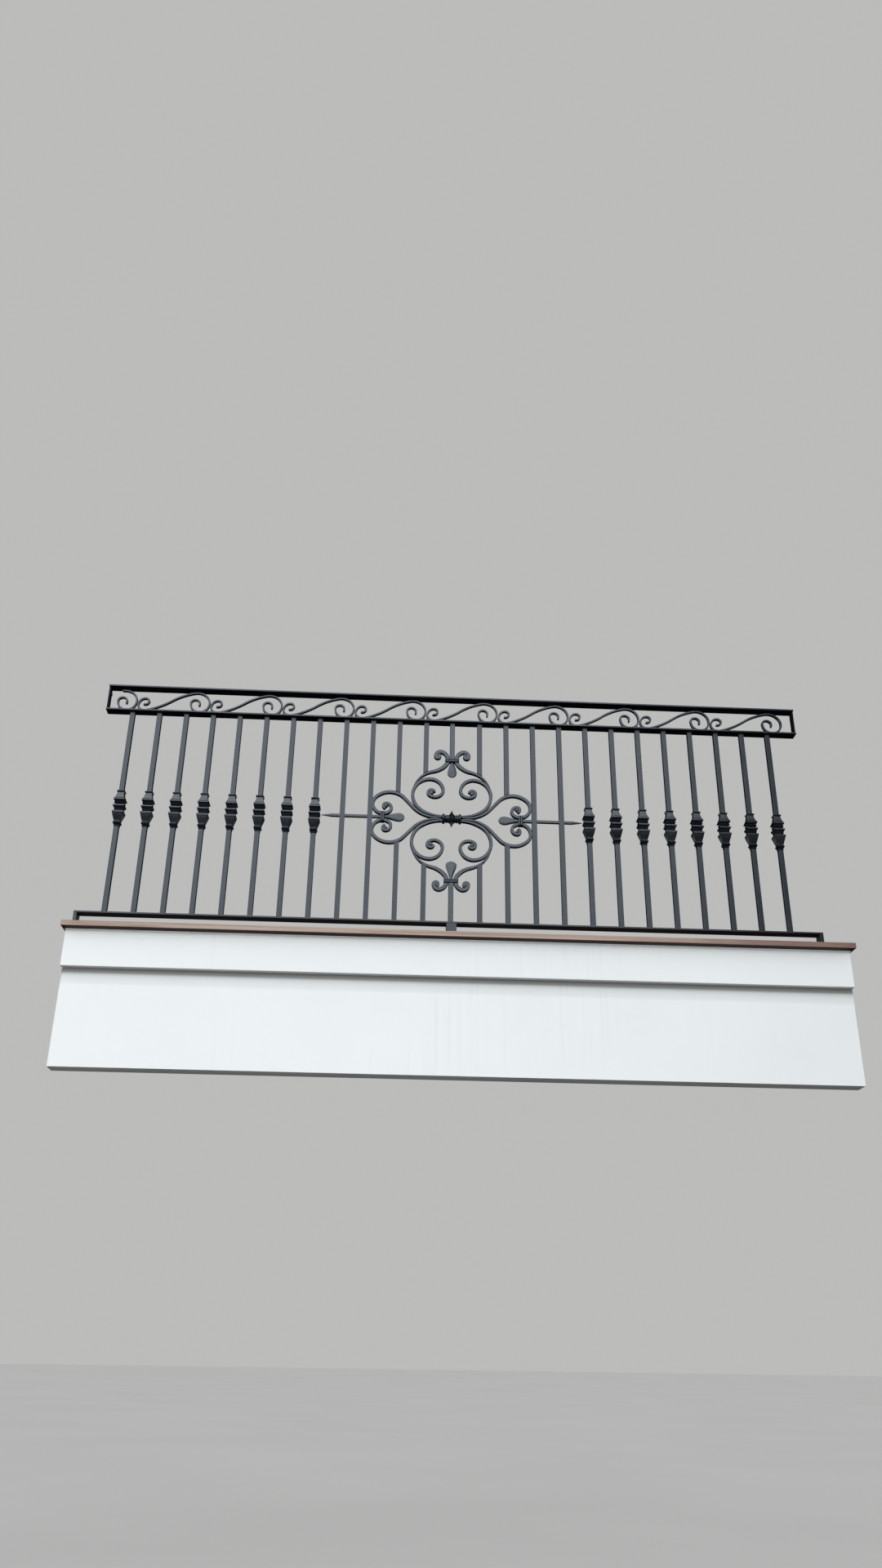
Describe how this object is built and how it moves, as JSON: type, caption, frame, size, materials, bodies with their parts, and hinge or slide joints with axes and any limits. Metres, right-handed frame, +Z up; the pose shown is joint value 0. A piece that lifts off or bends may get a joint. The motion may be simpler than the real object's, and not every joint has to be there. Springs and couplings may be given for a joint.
{
  "type": "juliet balcony",
  "caption": "Juliet balcony guard of square steel bars with a scrolled frieze, cast knuckles and a scroll medallion, on a hardwood sill over a white boxed fascia.",
  "frame": {"origin": "on the flat back face of the boxed fascia, level with the middle of its height and on the centre line of the guard panel", "axes": "+X to the right seen from the street, +Y into the wall, +Z up"},
  "size_m": [2.7804, 0.14, 1.448],
  "materials": {
    "black_steel": "satin charcoal black paint",
    "hardwood": "weathered oiled reddish brown hardwood",
    "white_board": "off-white painted boards",
    "framing_timber": "plain sawn timber"
  },
  "bodies": {
    "root": {"top_rail": "black_steel", "frieze_rail": "black_steel", "bottom_rail": "black_steel", "frieze_end_left": "black_steel", "frieze_end_right": "black_steel", "frieze_scrolls_left": "black_steel", "frieze_scrolls_right": "black_steel", "pickets_left": "black_steel", "pickets_right": "black_steel", "knuckles_left": "black_steel", "knuckles_right": "black_steel", "pierced_pickets_left": "black_steel", "pierced_pickets_right": "black_steel", "short_pickets_upper": "black_steel", "short_pickets_lower": "black_steel", "leaf_picket_upper": "black_steel", "leaf_picket_lower": "black_steel", "leaf_spear_left": "black_steel", "leaf_spear_right": "black_steel", "medallion_hub": "black_steel", "c_scrolls_upper": "black_steel", "c_scrolls_lower": "black_steel", "lobe_scrolls_left": "black_steel", "lobe_scrolls_right": "black_steel", "crest_scrolls_upper": "black_steel", "crest_scrolls_lower": "black_steel", "strap_collar_upper": "black_steel", "strap_collar_lower": "black_steel", "strap_collar_left": "black_steel", "strap_collar_right": "black_steel", "foot_left": "black_steel", "foot_middle": "black_steel", "foot_right": "black_steel", "sill_board": "hardwood", "fascia_band": "white_board", "fascia_board": "white_board", "fascia_return_left": "white_board", "fascia_return_right": "white_board", "soffit_board": "white_board", "header_beam": "framing_timber"}
  },
  "joints": []
}
